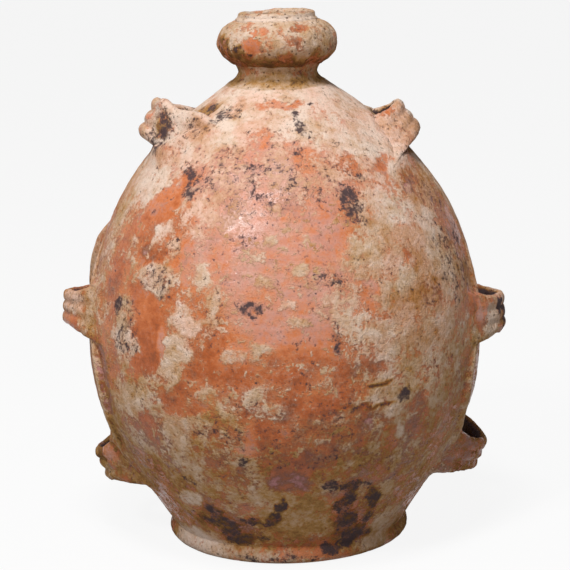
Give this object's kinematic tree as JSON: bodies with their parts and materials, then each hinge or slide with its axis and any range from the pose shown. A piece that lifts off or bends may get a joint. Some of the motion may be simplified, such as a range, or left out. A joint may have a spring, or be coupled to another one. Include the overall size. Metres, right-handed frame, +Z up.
{
  "type": "glazed ceramic flask",
  "caption": "Large egg-shaped glazed ceramic flask on a foot ring, with a bulbous mouth and ribbed strap lugs down each side for a carrying strap.",
  "frame": {"origin": "on the ground at the centre of the foot ring", "axes": "+Z up through the mouth; +X and -X out through the two rows of lugs; -Y is the front"},
  "size_m": [0.3387, 0.297, 0.4],
  "materials": {
    "red_glaze": "worn red-brown glaze with sandy crust",
    "lug_glaze": "worn glaze with pitted crust",
    "crusted_clay": "matt sandy crust over fired clay"
  },
  "bodies": {
    "root": {"foot_ring": "crusted_clay", "lower_body": "red_glaze", "upper_body": "red_glaze", "neck": "crusted_clay", "mouth_bulb": "crusted_clay", "lip_ring": "crusted_clay", "lug_upper_right": "lug_glaze", "lug_upper_left": "lug_glaze", "lug_middle_right": "lug_glaze", "lug_middle_left": "lug_glaze", "lug_lower_right": "lug_glaze", "lug_lower_left": "lug_glaze", "ridge_upper_right_front": "lug_glaze", "ridge_upper_right_back": "lug_glaze", "ridge_upper_left_front": "lug_glaze", "ridge_upper_left_back": "lug_glaze", "ridge_lower_right_front": "lug_glaze", "ridge_lower_right_back": "lug_glaze", "ridge_lower_left_front": "lug_glaze", "ridge_lower_left_back": "lug_glaze"}
  },
  "joints": []
}
